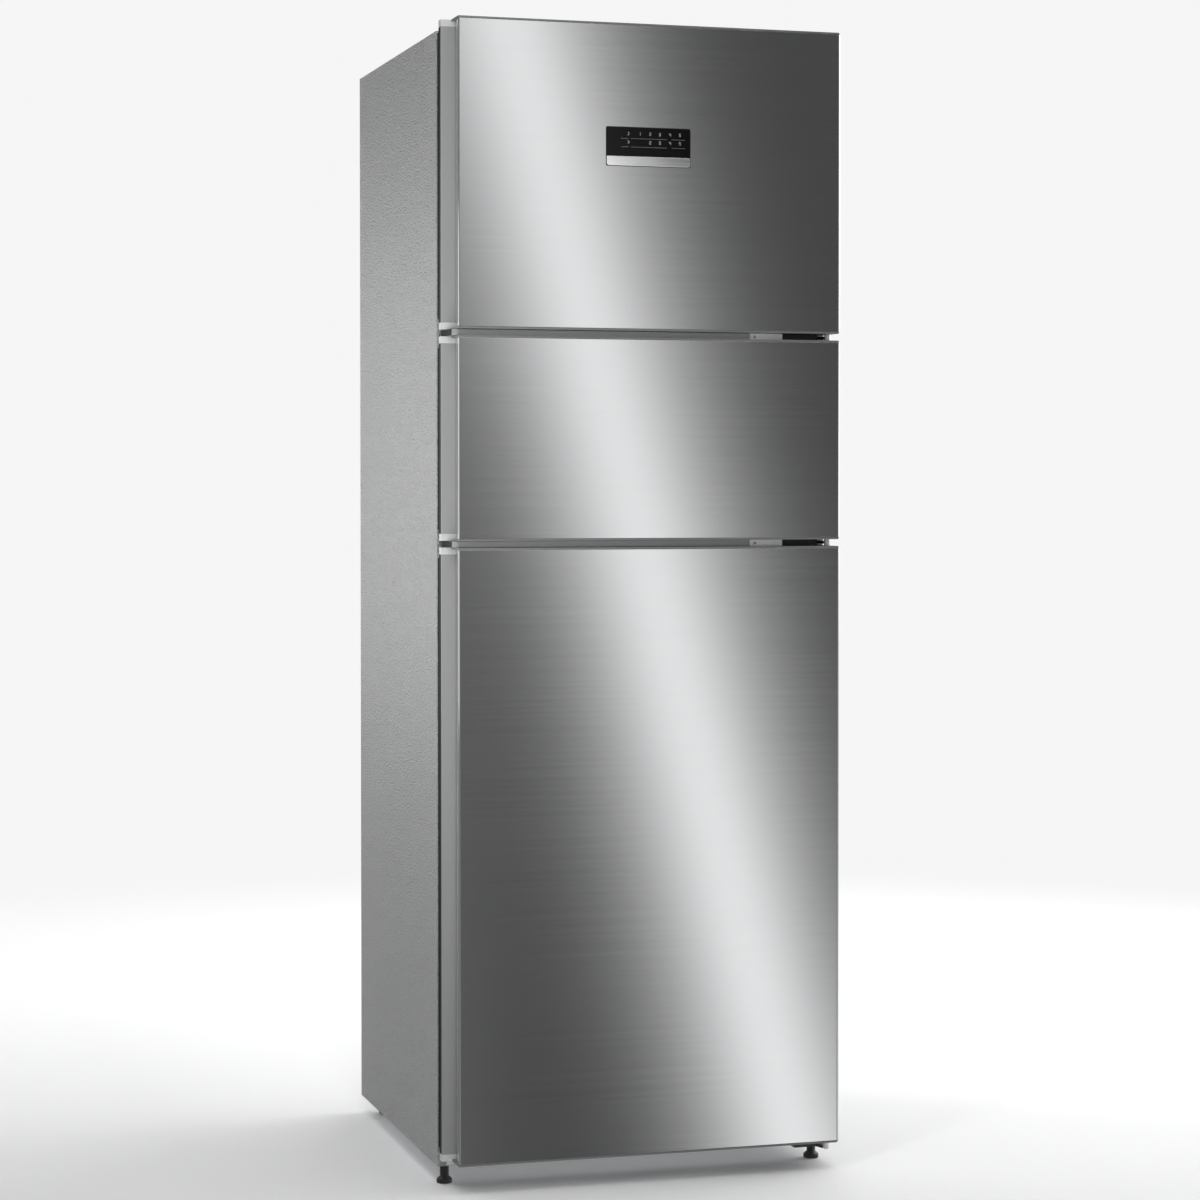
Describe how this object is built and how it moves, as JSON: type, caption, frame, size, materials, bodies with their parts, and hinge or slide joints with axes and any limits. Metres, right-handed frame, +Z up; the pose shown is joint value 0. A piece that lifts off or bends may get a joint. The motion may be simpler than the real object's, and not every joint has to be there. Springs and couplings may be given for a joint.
{
  "type": "triple door refrigerator",
  "caption": "Tall free-standing refrigerator with three stacked doors, side finger grips, a small display, inner shelves, drawers and door racks.",
  "frame": {"origin": "on the floor under the middle of the appliance's bounding box", "axes": "+Z up; front and doors face -Y; +X to the right seen from the front, hinges on +X"},
  "size_m": [0.605, 0.6212, 1.7085],
  "materials": {
    "side_sheet": "embossed satin paint",
    "rear_sheet": "plain satin paint",
    "foam": "rigid foam",
    "liner": "semi-gloss",
    "frame_steel": "zinc-coated",
    "rail": "satin",
    "grey_plastic": "fine satin",
    "hinge": "satin black",
    "screw": "polished",
    "compressor": "semi-gloss black",
    "rubber": "matte",
    "black_plastic": "matte",
    "copper": "drawn tube",
    "coil": "bare",
    "clear_plastic": "clear moulded",
    "shelf_glass": "toughened",
    "white_plastic": "semi-gloss",
    "ice_plastic": "satin",
    "slider": "gloss",
    "steel": "horizontal grain",
    "seal": "soft",
    "black_glass": "polished black",
    "bright_strip": "polished"
  },
  "bodies": {
    "cabinet": {"outer_wrap": "side_sheet", "rear_panel": "rear_sheet", "cabinet_foam": "foam", "freezer_liner": "liner", "chill_liner": "liner", "fridge_liner": "liner", "base_frame": "frame_steel", "compressor_deck": "frame_steel", "gap_bars": "rail", "gap_bar_covers": "grey_plastic", "top_hinge": "hinge", "top_hinge_cover": "grey_plastic", "middle_hinges": "hinge", "bottom_hinge": "hinge", "hinge_hardware": "screw", "compressor": "compressor", "compressor_mounts": "rubber", "drain_pan": "black_plastic", "machine_cover": "black_plastic", "refrigerant_pipes": "copper", "cord_gland": "rubber", "evaporator": "coil", "evaporator_cover": "white_plastic", "air_duct": "white_plastic", "freezer_shelf": "white_plastic", "ice_frame": "white_plastic", "shelf_glass": "shelf_glass", "shelf_trims": "white_plastic"},
    "freezer_door": {"freezer_door_skin": "steel", "freezer_door_grip": "grey_plastic", "freezer_door_caps": "grey_plastic", "freezer_door_foam": "foam", "freezer_door_liner": "liner", "freezer_door_seal": "seal", "freezer_door_racks": "clear_plastic", "display_glass": "black_glass", "display_strip": "bright_strip"},
    "chill_door": {"chill_door_skin": "steel", "chill_door_grip": "grey_plastic", "chill_door_caps": "grey_plastic", "chill_door_foam": "foam", "chill_door_liner": "liner", "chill_door_seal": "seal"},
    "fridge_door": {"fridge_door_skin": "steel", "fridge_door_grip": "grey_plastic", "fridge_door_caps": "grey_plastic", "fridge_door_foam": "foam", "fridge_door_liner": "liner", "fridge_door_seal": "seal", "fridge_door_racks": "clear_plastic"},
    "crisper": {"crisper_drawer": "clear_plastic"},
    "chill_box": {"chill_drawer": "clear_plastic"},
    "humidity_control": {"humidity_slider": "slider"},
    "tray": {"ice_tray": "ice_plastic"},
    "bin": {"ice_bin": "clear_plastic"},
    "fan": {"evaporator_fan": "white_plastic"},
    "left_foot": {"front_foot_left": "black_plastic"},
    "right_foot": {"front_foot_right": "black_plastic"},
    "left_roller": {"rear_roller_left": "black_plastic"},
    "right_roller": {"rear_roller_right": "black_plastic"}
  },
  "joints": [
    {"name": "freezer_door_hinge", "type": "hinge", "parent": "cabinet", "child": "freezer_door", "pos_m": [0.2895, -0.2874, 1.4835], "axis": [0, 0, 1], "range_deg": [0, 115]},
    {"name": "chill_door_hinge", "type": "hinge", "parent": "cabinet", "child": "chill_door", "pos_m": [0.2895, -0.2874, 1.0995], "axis": [0, 0, 1], "range_deg": [0, 115]},
    {"name": "fridge_door_hinge", "type": "hinge", "parent": "cabinet", "child": "fridge_door", "pos_m": [0.2895, -0.2874, 0.4905], "axis": [0, 0, 1], "range_deg": [0, 115]},
    {"name": "crisper_slide", "type": "slide", "parent": "cabinet", "child": "crisper", "axis": [0, -1, 0], "range_m": [0, 0.11]},
    {"name": "chill_drawer_slide", "type": "slide", "parent": "cabinet", "child": "chill_box", "axis": [0, -1, 0], "range_m": [0, 0.085]},
    {"name": "humidity_slide", "type": "slide", "parent": "cabinet", "child": "humidity_control", "axis": [1, 0, 0], "range_m": [0, 0.04]},
    {"name": "ice_tray_twist", "type": "hinge", "parent": "cabinet", "child": "tray", "pos_m": [-0.1675, -0.1084, 1.5675], "axis": [0, 1, 0], "range_deg": [0, 120], "stiffness_Nm_per_rad": 0.25},
    {"name": "ice_bin_slide", "type": "slide", "parent": "cabinet", "child": "bin", "axis": [0, -1, 0], "range_m": [0, 0.05]},
    {"name": "evaporator_fan_spin", "type": "hinge", "parent": "cabinet", "child": "fan", "pos_m": [0, 0.2126, 1.556], "axis": [0, 1, 0], "continuous": true},
    {"name": "left_foot_turn", "type": "hinge", "parent": "cabinet", "child": "left_foot", "pos_m": [-0.289, -0.2238, 0], "axis": [0, 0, 1], "continuous": true},
    {"name": "right_foot_turn", "type": "hinge", "parent": "cabinet", "child": "right_foot", "pos_m": [0.289, -0.2238, 0], "axis": [0, 0, 1], "continuous": true},
    {"name": "left_roller_spin", "type": "hinge", "parent": "cabinet", "child": "left_roller", "pos_m": [-0.2705, 0.2726, 0.0125], "axis": [1, 0, 0], "continuous": true},
    {"name": "right_roller_spin", "type": "hinge", "parent": "cabinet", "child": "right_roller", "pos_m": [0.2705, 0.2726, 0.0125], "axis": [1, 0, 0], "continuous": true}
  ]
}
